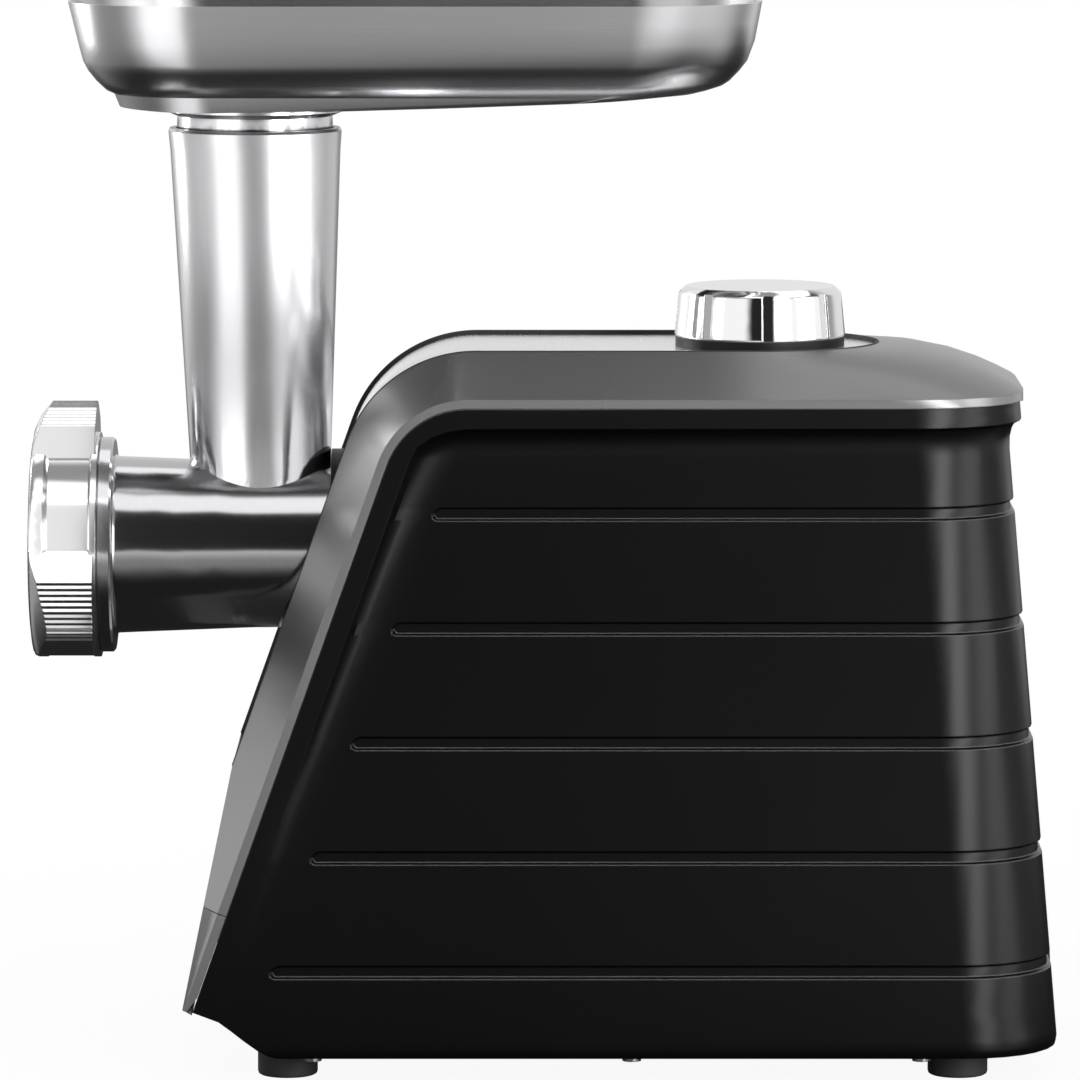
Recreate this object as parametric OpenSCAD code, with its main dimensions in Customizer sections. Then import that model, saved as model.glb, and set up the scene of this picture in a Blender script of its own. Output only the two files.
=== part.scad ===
// Electric meat grinder, size 8 head, as separate pieces in their places.
// +Z up, origin on the table under the middle of the whole machine, barrel towards -X.

/* [Housing] */
// Rearmost point of the housing, at its foot
rear_x = 175.5; // [165:0.5:185]
// Height of the housing's underside above the table
base_z = 9.2; // [7:0.1:12]
// Height of the edge of the cover
edge_z = 231.5; // [226:0.5:236]
// Width across the edge of the cover, at its top
rim_w = 134; // [128:1:142]
// Width across the edge of the cover, at the toe
toe_w = 154; // [146:1:158]
// Height of the lower edge of the toe
toe_z = 25; // [22:0.5:30]
// Place of the foot of the sloping front edge
toe_x = -121.5; // [-126:0.5:-116]
// Lean of the front from upright, degrees
front_lean = 19.6; // [17:0.2:22]
// Radius of the bend from front to top, at the cover's edge
bend_r = 32; // [26:1:38]
// Radius of the two rear corners, in plan
corner_r = 33; // [26:1:38]
// Draft of the side and rear walls, degrees
draft = 4.7; // [3:0.1:6]
// How far the neck under the rim is drawn in
neck_in = 4.8; // [2:0.2:6]
// Height of the black band of the rim
band_h = 6.7; // [4:0.1:9]
// Height of the cove under the band
cove_h = 10.2; // [6:0.2:14]
// Wall thickness of the mouldings
wall = 2.5; // [2:0.1:3]
// Width of a groove in the side walls
groove_w = 4.6; // [3:0.2:6]
// Depth of a groove
groove_d = 1.3; // [0.6:0.1:1.8]
// Height of the lowest groove
groove_z = 38.6; // [34:0.2:42]
// Step from groove to groove
groove_step = 38.5; // [34:0.5:40]
// Distance of the groove ends from the front edge
groove_end = 21.2; // [19:0.2:28]
// Open seam between two mouldings
seam = 0.2; // [0.1:0.05:0.4]

/* [Cover] */
// Height of the plain edge strip of the cover
edge_h = 3.1; // [2.4:0.1:4]
// Rise of the flat crown above the edge, along the top
crown_h = 14; // [11:0.5:16]
// Rise of the flat crown above the edge, down the front
crown_front_h = 11.7; // [9:0.1:13]
// Width of the flat crown and of the panel let into it
crown_w = 82; // [76:1:88]
// Height of the kink where the front starts to fall back
kink_z = 104; // [96:1:110]
// Height of the joint between cover and apron on the edge strip
joint_z = 58.5; // [50:0.5:66]
// Depth of the ledge that carries the metal panel
panel_t = 2.6; // [2:0.1:4]
// Drop of the panel's face below the cover's crown
panel_drop = 1.25; // [0.6:0.05:1.5]
// Width of the black gasket round the panel
gasket_w = 0.9; // [0.6:0.1:1.4]

/* [Head] */
// Height of the drive axis
axis_z = 175.2; // [170:0.2:180]
// Place of the front face of the ring nut
nut_x = -175.5; // [-178:0.5:-172]
// Diameter of the cutting plate
plate_d = 62; // [60:1:64]
// Thickness of the cutting plate
plate_t = 5; // [4:0.5:6]
// Outer radius of the barrel at its flange
barrel_r1 = 30.45; // [29.5:0.05:31.5]
// Outer radius of the barrel at the housing
barrel_r2 = 28.6; // [27.8:0.05:29.2]
// Radius of the flange behind the nut
flange_r = 37; // [36:0.1:38]
// Radius of the bore that the screw turns in
bore_r = 25.5; // [24.5:0.1:26]
// Place of the axis of the feed tube
tube_x = -98.6; // [-102:0.5:-95]
// Height of the mouth of the feed tube
tube_z = 319; // [310:1:326]
// Outer radius of the feed tube at its mouth
tube_r1 = 29.8; // [29:0.1:31]
// Outer radius of the feed tube at the barrel, along the barrel
tube_r2 = 24.4; // [23:0.1:25.5]
// Outer radius of the feed tube at the barrel, across the barrel
tube_r3 = 18.9; // [17.5:0.1:20]
// Radius of the tray's spigot in the mouth
spigot_r = 26.7; // [26:0.1:27.2]
// Distance of the socket's face in front of the drive gear
socket_x = -72.6; // [-75:0.2:-70]

/* [Ring nut] */
// Radius to the tip of a grip lobe
lobe_r = 49.3; // [46:0.1:52]
// Radius where the ribs end on each side of a lobe
shoulder_r = 45; // [42:0.1:46]
// Radius of the rim and of the rear collar
collar_r = 38.7; // [38.2:0.1:39.4]
// Radius of the sunk panels between the lobes
panel_r = 37.2; // [36.8:0.1:38]
// Length of the nut
nut_l = 22.5; // [21:0.1:24]
// Turn of the nut about its axis, degrees
nut_turn = 90; // [0:1:119]
// Radius of the opening in the front
outlet_r = 27.5; // [26:0.5:28.5]
// Ribs on each flank of a lobe
rib_n = 9; // [8:1:16]
// Depth of the ribs
rib_d = 0.55; // [0.3:0.05:0.7]

/* [Tray] */
// Length of the tray
tray_l = 236; // [220:1:250]
// Width of the tray
tray_w = 124; // [110:1:140]
// Height of the rim
rim_z = 363; // [356:1:370]
// Depth of the tray at its spigot
tray_h = 36; // [30:0.5:40]
// Place of the left end of the rim
tray_x0 = -161.4; // [-166:0.2:-158]
// Thickness of the sheet
sheet = 0.8; // [0.6:0.1:1.2]
// Rise of the floor away from the spigot, degrees
floor_rise = 2.2; // [0:0.1:3]

/* [Knob] */
// Place of the knob's axis
knob_x = 74.5; // [68:0.5:80]
// Radius of the knob at its foot
knob_r = 29.3; // [26:0.1:32]
// Radius of the flat top
knob_top_r = 25.4; // [22:0.1:27]
// Height of the knob above the panel
knob_h = 19.2; // [16:0.2:22]

/* [Feet] */
// Radius of a foot
foot_r = 10.2; // [8:0.1:12]
// Place of the front feet
foot_x1 = -86.8; // [-90:0.2:-82]
// Place of the rear feet
foot_x2 = 141.1; // [134:0.2:144]
// Distance of the feet from the middle
foot_y = 53; // [46:0.5:58]

/* [Drive] */
// Teeth of the motor's pinion
z1 = 14; // [14:1:14]
// Teeth of the first wheel
z2 = 56; // [56:1:56]
// Teeth of the middle pinion
z3 = 14; // [14:1:14]
// Teeth of the middle wheel
z4 = 56; // [56:1:56]
// Teeth of the last pinion
z5 = 14; // [14:1:14]
// Teeth of the output wheel
z6 = 49; // [49:1:49]
// Module of the first pair
m1 = 1; // [0.9:0.05:1.05]
// Module of the middle pair
m2 = 1.25; // [1.2:0.05:1.25]
// Module of the last pair
m3 = 1.5; // [1.4:0.05:1.5]
// Radius of the motor's frame
motor_r = 37; // [34:0.5:38]
// Running clearance of shafts in their bores, on radius
run = 0.06; // [0.03:0.01:0.1]

/* [Hidden] */
$fn = 64;
eps = 0.01;
touch = 0.1;       // gap between pieces that stand face to face
slack = 0.3;       // gap round a piece that is dropped in or pulled out

// ---- grids of points made into solids ----

function flat(rows) = [for (row = rows) each row];

// A wall between two grids of points, outer and inner, with its four borders closed.
// With wrap, each row is a ring.
module walled(outer, inner, wrap = false) {
    m = len(outer);
    n = len(outer[0]);
    last = wrap ? n : n - 1;
    function a(i, j) = i * n + j % n;
    function b(i, j) = m * n + a(i, j);
    skins = [for (i = [0:m - 2], j = [0:last - 1]) each [
        [a(i, j), a(i, j + 1), a(i + 1, j + 1)], [a(i, j), a(i + 1, j + 1), a(i + 1, j)],
        [b(i, j), b(i + 1, j + 1), b(i, j + 1)], [b(i, j), b(i + 1, j), b(i + 1, j + 1)]]];
    ends = [for (j = [0:last - 1]) each [
        [a(0, j + 1), a(0, j), b(0, j)], [a(0, j + 1), b(0, j), b(0, j + 1)],
        [a(m - 1, j), a(m - 1, j + 1), b(m - 1, j + 1)], [a(m - 1, j), b(m - 1, j + 1), b(m - 1, j)]]];
    sides = wrap ? [] : [for (i = [0:m - 2]) each [
        [a(i, 0), a(i + 1, 0), b(i + 1, 0)], [a(i, 0), b(i + 1, 0), b(i, 0)],
        [a(i + 1, n - 1), a(i, n - 1), b(i, n - 1)],
        [a(i + 1, n - 1), b(i, n - 1), b(i + 1, n - 1)]]];
    polyhedron(concat(flat(inner), flat(outer)), concat(skins, ends, sides));
}

// A solid through a stack of rings of equal count, each end closed by a fan.
module lofted(rings) {
    m = len(rings);
    n = len(rings[0]);
    function a(i, j) = i * n + j % n;
    skins = [for (i = [0:m - 2], j = [0:n - 1]) each
        [[a(i, j), a(i, j + 1), a(i + 1, j + 1)], [a(i, j), a(i + 1, j + 1), a(i + 1, j)]]];
    ends = [for (j = [1:n - 2]) each
        [[a(0, 0), a(0, j + 1), a(0, j)], [a(m - 1, 0), a(m - 1, j), a(m - 1, j + 1)]]];
    polyhedron(flat(rings), concat(skins, ends));
}

// Turns a shape built upright so that its +Z points along the drive axis, to +X.
module along_x(x = 0, y = 0, z = 0) {
    translate([x, y, z]) rotate([90, 0, 90]) children();
}

module tube_x(x0, x1, r, y = 0, z = axis_z) {
    along_x(x0, y, z) cylinder(r = r, h = x1 - x0);
}

// ---- lines of the housing, in side view ----

crown_z = edge_z + crown_h;
band_z = edge_z - edge_h;              // top of the side walls
neck_z = band_z - band_h - cove_h;     // narrowest place under the rim
crown_r = bend_r + crown_h;
neck_y = rim_w / 2 - neck_in;

// Front line of the cover's edge at a height, and the same line d in front of it.
function front_at(z, d = 0) = toe_x + (z - toe_z) * tan(front_lean) - d / cos(front_lean);
// Centre of the bend of a line whose top is at height t and whose front is d in front.
function bend_c(t, d, r) = [front_at(t - r, d) + r / cos(front_lean), t - r];
// Half width of the cover's edge, and of the drafted side wall.
function edge_y(z) = rim_w / 2 + (edge_z - min(z, edge_z)) / (edge_z - toe_z) * (toe_w - rim_w) / 2;
function wall_y(z) = neck_y + (neck_z - z) * tan(draft);
function back_x(z) = rear_x - (z - base_z) * tan(draft);
rim_x = back_x(neck_z) + neck_in;

// ---- side shells ----

inner_r = bend_r - edge_h;
inner_c = bend_c(band_z, -edge_h, inner_r);
heel_x = foot_x1 - 1;
toe_under_x = front_at(toe_z, -edge_h);
// Curve under the toe, flat at both ends: the inverse of a smooth step.
function under_x(z) = heel_x + (toe_under_x - heel_x)
    * (0.5 - sin(asin(max(-1, min(1, 1 - 2 * (z - base_z) / (toe_z - base_z)))) / 3));

// Front edge of the side wall: under the toe, up the front, then round the bend.
function shell_front(z) =
    z < toe_z ? under_x(z)
    : z < inner_c[1] + inner_r * sin(front_lean) ? front_at(z, -edge_h)
    : inner_c[0] - sqrt(max(0, inner_r * inner_r - pow(z - inner_c[1], 2)));
// Distance of a point of the side wall from the cover's edge.
function from_edge(x, z) = let (p = [x, z] - inner_c)
    p[0] < 0 && p * [sin(front_lean), cos(front_lean)] > 0 ? inner_r - norm(p)
    : min(band_z - z, (x - front_at(z, -edge_h)) * cos(front_lean));
// How far the band and the cove below it stand out, from 1 to 0.
function proud(q) = let (t = (q - band_h) / cove_h)
    t <= 0 ? 1 : t >= 1 ? 0 : 1 - sqrt(1 - pow(1 - t, 2));
// Depth of the nearest groove at a height.
grooves = [for (k = [0:4]) groove_z + k * groove_step];
groove_bevel = 0.7;
function groove_dz(z) = min([for (g = grooves) abs(z - g)]);
function groove_at(z) = groove_d * max(0, min(1, (groove_w / 2 - groove_dz(z)) / groove_bevel));
// Rounding of the bottom edge.
edge_round = 3;
function tuck(z) = let (t = max(0, 1 - (z - base_z) / edge_round)) 2 * (1 - sqrt(1 - t * t));

shell_rows = concat(
    [for (t = [0, 0.12, 0.35, 1]) base_z + edge_round * t],
    [for (t = [0.25, 0.5, 0.75, 1]) base_z + edge_round + (toe_z - base_z - edge_round) * t],
    [for (g = grooves, d = [-groove_w / 2, groove_bevel - groove_w / 2, 0,
                            groove_w / 2 - groove_bevel, groove_w / 2]) g + d],
    [for (t = [0, 0.4, 0.7, 0.9, 1]) neck_z + cove_h * t],
    [for (t = [0.35, 0.65, 0.85, 0.96, 1]) band_z - band_h * (1 - t)]);
corner_n = 7;

function shell_xs(z) = let (
        f = shell_front(z), k = 1 / cos(front_lean),
        dz = min(groove_dz(z), groove_w / 2),
        r0 = groove_w / 2, r1 = r0 - groove_bevel,
        end = front_at(z, -edge_h) + groove_end + r0)
    [f, f + band_h * k, f + (band_h + cove_h * 0.2) * k, f + (band_h + cove_h * 0.5) * k,
     f + (band_h + cove_h) * k,
     max(end - sqrt(r0 * r0 - dz * dz), f + 19), max(end - sqrt(max(0, r1 * r1 - dz * dz)), f + 20)];

function shell_outer(z) = let (
        xs = shell_xs(z), out = neck_in * proud(band_z - z), cut = groove_at(z),
        c = [back_x(z) - corner_r, corner_r - wall_y(z)], r = corner_r + out - tuck(z) - cut)
    concat(
        [for (j = [0:6]) [xs[j], -(wall_y(z) + (edge_y(z) - wall_y(z)) * proud(from_edge(xs[j], z))
                                   - tuck(z) - (j == 6 ? cut : 0)), z]],
        [for (i = [0:corner_n]) let (a = -90 + 90 * i / corner_n)
            [c[0] + r * cos(a), c[1] + r * sin(a), z]],
        [[c[0] + r, -seam / 2, z]]);

function shell_inner(z) = let (
        xs = shell_xs(z), in = wall + tuck(z) * 0.8,
        c = [back_x(z) - corner_r, corner_r - wall_y(z)], r = corner_r - in)
    concat(
        [for (x = xs) [x, in - wall_y(z), z]],
        [for (i = [0:corner_n]) let (a = -90 + 90 * i / corner_n)
            [c[0] + r * cos(a), c[1] + r * sin(a), z]],
        [[c[0] + r, -seam / 2, z]]);

boss_r = 4.5;
boss_h = 22;
boss_x = [-78, 30, 128];
boss_y = wall_y(base_z) - wall - boss_r - 1.2;
base_top = base_z + wall;
rib_l = wall_y(base_top + boss_h) - wall * 0.6 - boss_y;
screw_r = 1.6;

// One moulded half of the black body, with its three screw bosses on the inside.
module shell_half() {
    difference() {
        union() {
            walled([for (z = shell_rows) shell_outer(z)], [for (z = shell_rows) shell_inner(z)]);
            for (x = boss_x) translate([x, -boss_y, base_top + touch]) {
                cylinder(r = boss_r, h = boss_h, $fn = 24);
                translate([-boss_r / 2, -rib_l, 0]) cube([boss_r, rib_l, boss_h]);
            }
        }
        for (x = boss_x) translate([x, -boss_y, base_z])
            cylinder(r = screw_r, h = boss_h, $fn = 16);
        cord_hole();
    }
}

module left_shell() {
    color([0.09, 0.09, 0.09]) shell_half();
}

module right_shell() {
    color([0.09, 0.09, 0.09]) mirror([0, 1, 0]) shell_half();
}

// ---- cover, apron, panel ----

front_n = 14;      // steps round the bend
fan_n = 24;        // steps round the rear of the crown
crown_y = crown_w / 2;
seat_w = 5;        // ledge of the cover under the panel
cover_t = 2.2;
slopes = [0.3, 0.55, 0.75, 0.9];
grey = [0.62, 0.63, 0.64];
black = [0.09, 0.09, 0.09];
steel = [0.75, 0.76, 0.77];
cast = [0.72, 0.73, 0.74];

// Below the kink the crown's fold runs out to the toe's corner and its height fades.
function fall(z) = max(0, (kink_z - z) / (kink_z - toe_z));
function fold_y(z) = crown_y + (edge_y(toe_z) - 2 - crown_y) * fall(z);
function fold_d(z) = 0.3 + (crown_front_h - 0.3) * (1 - fall(z));

// A station of the cover: fold, edge, outward normal, way in to the panel, bulge of the slope.
function side_station(z) = [[front_at(z, fold_d(z)), -fold_y(z), z], [front_at(z), -edge_y(z), z],
    [-cos(front_lean), 0, sin(front_lean)], [0, 1, 0], 1];
function bend_station(i) = let (
        a = 180 - front_lean - (90 - front_lean) * i / front_n, n = [cos(a), 0, sin(a)],
        k = bend_c(crown_z, crown_front_h, crown_r) + crown_r * [cos(a), sin(a)],
        e = bend_c(edge_z, 0, bend_r) + bend_r * [cos(a), sin(a)])
    [[k[0], -crown_y, k[1]], [e[0], -edge_y(e[1]), e[1]], n, [0, 1, 0], 1];
// Distance from the knob's axis to the rim's outline, a rectangle with rounded corners.
rim_r = corner_r + neck_in;
function rim_reach(a) = let (
        cx = rim_x - rim_r - knob_x, cy = rim_w / 2 - rim_r,
        t1 = (rim_x - knob_x) / max(eps, cos(a)), t2 = rim_w / 2 / max(eps, abs(sin(a))),
        d = cx * cos(a) + cy * abs(sin(a)), h = abs(cx * sin(a)) - 0,
        off = cx * abs(sin(a)) - cy * cos(a), tc = d + sqrt(max(0, rim_r * rim_r - off * off)))
    t1 * abs(sin(a)) <= cy ? t1 : t2 * cos(a) <= cx ? t2 : tc;
function fan_station(i) = let (a = -90 + 180 * i / fan_n, u = [cos(a), sin(a), 0], t = rim_reach(a))
    [[knob_x, 0, crown_z] + crown_y * u, [knob_x, 0, edge_z] + t * u, [0, 0, 1], -u,
     1 + 1.2 * pow(cos(a), 1.5)];
function mirrored(st) = [for (i = [0:3]) [st[i][0], -st[i][1], st[i][2]]];
half_stations = concat([side_station(joint_z), side_station(kink_z)],
                       [for (i = [0:front_n]) bend_station(i)]);
stations = concat(half_stations, [for (i = [0:fan_n]) fan_station(i)],
                  [for (i = [len(half_stations) - 1:-1:0]) concat(mirrored(half_stations[i]), [1])]);

function slope_at(st, s) = let (k = st[0], e = st[1], drop = (k - e) * st[2])
    k + (e - k) * s + st[2] * drop * (s - pow(s, st[4]));
function cover_outer(st) = concat(
    [st[0] + st[3] * seat_w - st[2] * panel_t, st[0] - st[2] * panel_t, st[0]],
    [for (s = slopes) slope_at(st, s)], [st[1], st[1] - st[2] * (edge_h - touch)]);
function cover_inner(st) = let (under = st[2] * (panel_t + cover_t)) concat(
    [st[0] + st[3] * seat_w - under, st[0] - under, st[0] - under - st[3] * 1.4],
    [for (s = slopes) slope_at(st, s) - st[2] * cover_t * 1.2 + st[3] * 0.4],
    [st[1] + st[3] * cover_t * 1.2 - st[2] * 1.2, st[1] + st[3] * cover_t - st[2] * (edge_h - touch)]);

// The grey cover: a band round the panel from the near front, over the top, to the far front.
module top_cover() {
    color(grey) difference() {
        walled([for (st = stations) cover_outer(st)], [for (st = stations) cover_inner(st)]);
        tube_x(front_at(kink_z), neck_z, barrel_r2 + ring_t + slack);
    }
}

// The grey front: a tongue between the cover's ledges, and the full width of the toe below.
apron_top = joint_z - seam;
apron_zs = [apron_top, 42, 31, toe_z + 0.6];
module front_apron() {
    in = [cos(front_lean), 0, -sin(front_lean)];
    function row(z, ys, d = 0) = [for (y = ys) [front_at(z, fold_d(min(z, kink_z)) - d), y, z]];
    function across(z) = let (k = side_station(z)[0], e = side_station(z)[1], low = z < toe_z + 1)
        [e + in * (low ? 1.2 : edge_h - touch), e, k, [k[0], 0, z],
         [k[0], -k[1], z], [e[0], -e[1], z], [e[0], -e[1], z] + in * (low ? 1.2 : edge_h - touch)];
    function behind(z) = let (p = across(z), low = z < toe_z + 1, t = low ? [3.2, 0, -1.9] : in * cover_t)
        [p[0] + [0, cover_t, 0], p[1] + [0, cover_t * 1.2, 0] + t * 0.5, p[2] + t, p[3] + t, p[4] + t,
         p[5] - [0, cover_t * 1.2, 0] + t * 0.5, p[6] - [0, cover_t, 0]];
    color(grey) union() {
        walled([for (z = apron_zs) across(z)], [for (z = apron_zs) behind(z)]);
        walled([for (z = [kink_z - seam, apron_top - 4]) row(z, [-fold_y(z) + seam, 0, fold_y(z) - seam])],
               [for (z = [kink_z - seam, apron_top - 4])
                    [for (p = row(z, [-fold_y(z) + seam, 0, fold_y(z) - seam])) p + in * (panel_t - touch)]]);
    }
}

// Band of thickness t under the crown's line, in side view, from height z0 to beyond the knob.
module crown_band(z0, t, up = 0) {
    function line(d) = concat([[front_at(z0, crown_front_h - d), z0]],
        [for (i = [0:2 * front_n]) let (a = 180 - front_lean - (90 - front_lean) * i / front_n / 2)
            bend_c(crown_z, crown_front_h, crown_r) + (crown_r - d) * [cos(a), sin(a)]],
        [[knob_x + crown_y, crown_z - d]]);
    up_line = line(-up);
    low = line(t);
    polygon(concat(up_line, [for (i = [len(low) - 1:-1:0]) low[i]]));
}
// Upright block as wide as the crown less g, with a round rear end about the knob's axis.
module crown_plan(g, x0 = -150) {
    translate([x0, g - crown_y, 0]) cube([knob_x - x0, crown_w - 2 * g, 300]);
    translate([knob_x, 0, 0]) cylinder(r = crown_y - g, h = 300, $fn = 96);
}
module crown_skin(z0, t, up = 0) {
    translate([0, crown_y, 0]) rotate([90, 0, 0]) linear_extrude(crown_w) crown_band(z0, t, up);
}
panel_z0 = kink_z + 0.1;
panel_gap = 0.14;

module inlay_panel() {
    color([0.55, 0.56, 0.58]) difference() {
        intersection() {
            crown_skin(panel_z0 + gasket_w, panel_t - touch, -panel_drop);
            crown_plan(gasket_w + panel_gap);
        }
        tube_x(front_at(kink_z) - 30, 0, barrel_r2 + ring_t + slack);
        translate([knob_x, 0, 0]) cylinder(r = spindle_r + slack, h = 300, $fn = 32);
    }
}

module panel_gasket() {
    color(black) difference() {
        intersection() {
            crown_skin(panel_z0, panel_t - touch, 0.25);
            crown_plan(panel_gap);
        }
        crown_plan(gasket_w);
        tube_x(front_at(kink_z) - 30, 0, barrel_r2 + ring_t + slack);
    }
}

// ---- base ----

plate_y = wall_y(base_z) - wall - 1.6 - touch * 2;
plate_x = back_x(base_z) - wall - 1.6 - touch * 2;
plate_r = corner_r - wall - 1.6 - touch * 2;
module base_outline(d = 0) {
    translate([plate_x - plate_r, 0]) for (s = [-1, 1]) translate([0, s * (plate_y - plate_r)])
        circle(r = plate_r - d, $fn = 48);
    translate([plate_x - plate_r, d - plate_y + plate_r]) square([plate_r - d, 2 * (plate_y - plate_r)]);
    translate([-130, d - plate_y]) square([130 + plate_x - plate_r, 2 * (plate_y - d)]);
}
feet = [for (x = [foot_x1, foot_x2], y = [-foot_y, foot_y]) [x, y]];
screws = [for (x = boss_x, y = [-boss_y, boss_y]) [x, y]];
foot_seat = 1.2;
vent_w = 2.6;

module base_plate() {
    zs = [for (t = [0, 0.06, 0.2, 0.4, 0.6, 0.8, 0.93]) base_z + (toe_z - base_z) * t];
    low = [for (z = zs) [under_x(z) + touch, z]];
    color(black) difference() {
        intersection() {
            translate([0, 100, 0]) rotate([90, 0, 0]) linear_extrude(200) polygon(concat(
                [[plate_x, base_z], [plate_x, base_top]],
                [[heel_x + 1, base_top]],
                [for (i = [2:len(low) - 1]) low[i] + [wall * 0.8, wall * 0.45]],
                [for (i = [len(low) - 1:-1:0]) low[i]]));
            linear_extrude(60) base_outline();
        }
        for (p = feet) translate([p[0], p[1], 0]) cylinder(r = foot_r + slack / 2, h = base_z + foot_seat, $fn = 48);
        for (p = screws) translate([p[0], p[1], 0]) cylinder(r = screw_r + 0.2, h = 60, $fn = 24);
        for (x = [52:7:108]) for (s = [-1, 1]) translate([x, s * 21 - 12, 0]) cube([vent_w, 24, 40]);
    }
}

module rubber_feet() {
    color([0.12, 0.12, 0.12]) for (p = feet) translate([p[0], p[1], 0])
        rotate_extrude($fn = 48) polygon([[0, 0], [foot_r - 1, 0], [foot_r - 0.3, 0.4], [foot_r, 1.2], [foot_r, base_z + foot_seat - touch / 2],
            [0, base_z + foot_seat - touch / 2]]);
}

module base_screws() {
    color(steel) for (p = screws) translate([p[0], p[1], 0]) difference() {
        union() {
            translate([0, 0, base_z - 1.6]) cylinder(r = 3.2, h = 1.6 - touch / 2, $fn = 32);
            translate([0, 0, base_z - 0.5]) cylinder(r = screw_r - 0.05, h = 18, $fn = 16);
        }
        translate([-2.2, -0.35, base_z - 2]) cube([4.4, 0.7, 1.1]);
        translate([-0.35, -2.2, base_z - 2]) cube([0.7, 4.4, 1.1]);
    }
}

// ---- cord inlet, with its bush in the seam of the shells ----

cord_z = 28;
bush_r = 5.5;
cord_r = 3.5;
module cord_hole() {
    tube_x(back_x(cord_z) - 12, back_x(cord_z) + 4, bush_r + touch, 0, cord_z);
}
module cord_bush() {
    x = back_x(cord_z);
    color([0.07, 0.07, 0.07]) difference() {
        union() {
            tube_x(x - wall - 3.2, x + 1.5, bush_r, 0, cord_z);
            difference() {
                tube_x(x - wall - 3.3, x + 1.4, bush_r + 1.8, 0, cord_z);
                // the groove that holds the sloping wall
                translate([x, 20, cord_z]) rotate([90, 0, 0]) linear_extrude(40)
                    polygon([for (p = [[-wall - 0.3, -10], [0.2, -10], [0.2, 10], [-wall - 0.3, 10]])
                        [p[0] - p[1] * tan(draft), p[1]]]);
            }
        }
        tube_x(x - 20, x + 10, cord_r, 0, cord_z);
    }
}
module terminal_block() {
    color([0.85, 0.85, 0.8]) translate([138, -14, base_top + touch]) difference() {
        cube([12, 28, 14]);
        for (y = [5, 14, 23]) {
            translate([6, y, 5]) cylinder(r = 2, h = 12, $fn = 24);
            translate([-1, y, 7]) rotate([0, 90, 0]) cylinder(r = 1.8, h = 14, $fn = 24);
        }
    }
}

// ---- gearbox ----

out_p = [0, axis_z];                                  // output axis, as [Y, Z]
cd3 = m3 * (z5 + z6) / 2;
cd2 = m2 * (z3 + z4) / 2;
cd1 = m1 * (z1 + z2) / 2;
mid_p = out_p - [0, cd3];
first_p = mid_p + [30, -sqrt(cd2 * cd2 - 900)];
motor_p = [0, first_p[1] - sqrt(cd1 * cd1 - 900)];
aim_first = atan2(first_p[1] - mid_p[1], first_p[0] - mid_p[0]);
aim_motor = atan2(motor_p[1] - first_p[1], motor_p[0] - first_p[0]);

box_x0 = -44.9;    // front of the gearbox
box_x1 = 7;        // rear of the gearbox
box_t = 3;
out_x = [-39.5, -25];      // output wheel
mid_x = [-40.5, -24];      // pinion that drives it
wide_x = [-22, -11];       // middle wheel
small_x = [-23, -9.5];     // pinion that drives it
fast_x = [-7.5, 0.5];      // first wheel
pin_r = 4;
spindle_r = 4;
drive_r = 8;
lash = 0.05;

// Involute gear outline, four points a flank; a tooth stands on +X.
function inv_a(rb, r) = let (t = sqrt(max(0, r * r / rb / rb - 1))) t * 180 / PI - atan(t);
function gear_pts(z, m) = let (
        r = m * z / 2, rb = r * cos(20), rr = r - 1.2 * m, rt = r + m * 0.88,
        half = 90 / z - lash / r * 90 / PI + inv_a(rb, r),
        rs = [max(rb, rr + 0.05), (max(rb, rr + 0.05) + r) / 2 + 0.2, rt])
    [for (k = [0:z - 1]) let (c = 360 * k / z) each concat(
        [[rr, c - half - 0.3 / r * 90 / PI]],
        [for (q = rs) [q, c - half + inv_a(rb, q)]],
        [for (i = [2:-1:0]) [rs[i], c + half - inv_a(rb, rs[i])]],
        [[rr, c + half + 0.3 / r * 90 / PI]])];
module gear(z, m, xs, p, turn) {
    along_x(xs[0], p[0], p[1]) linear_extrude(xs[1] - xs[0]) rotate(turn)
        polygon([for (q = gear_pts(z, m)) q[0] * [cos(q[1]), sin(q[1])]]);
}
module ring_x(x0, x1, r, bore, p) {
    difference() {
        tube_x(x0, x1, r, p[0], p[1]);
        tube_x(x0 - 1, x1 + 1, bore, p[0], p[1]);
    }
}
module spot(p, r) {
    translate(p) circle(r = r, $fn = 72);
}
module link(p, q, w) {
    translate(p) rotate(atan2(q[1] - p[1], q[0] - p[0])) translate([0, -w / 2]) square([norm(q - p), w]);
}
module box_outline(d) {
    spot(out_p, 42.5 - d);
    spot(mid_p, 40 - d);
    spot(first_p, 33.5 - d);
    spot(motor_p, 14 - d);
    link(out_p, mid_p, 70 - 2 * d);
    link(mid_p, first_p, 56 - 2 * d);
    link(first_p, motor_p, 26 - 2 * d);
}
box_lugs = [for (l = [[out_p, 45, 42], [out_p, 45, 138], [mid_p, 42.5, 195], [first_p, 36, -28],
                      [motor_p, 17, 215]]) l[0] + l[1] * [cos(l[2]), sin(l[2])]];
module lug_spots(r) {
    for (p = box_lugs) translate(p) circle(r = r, $fn = 32);
}
module box_leg(w) {
    translate([-w, base_top + touch]) square([2 * w, motor_p[1] - base_top]);
}

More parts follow.
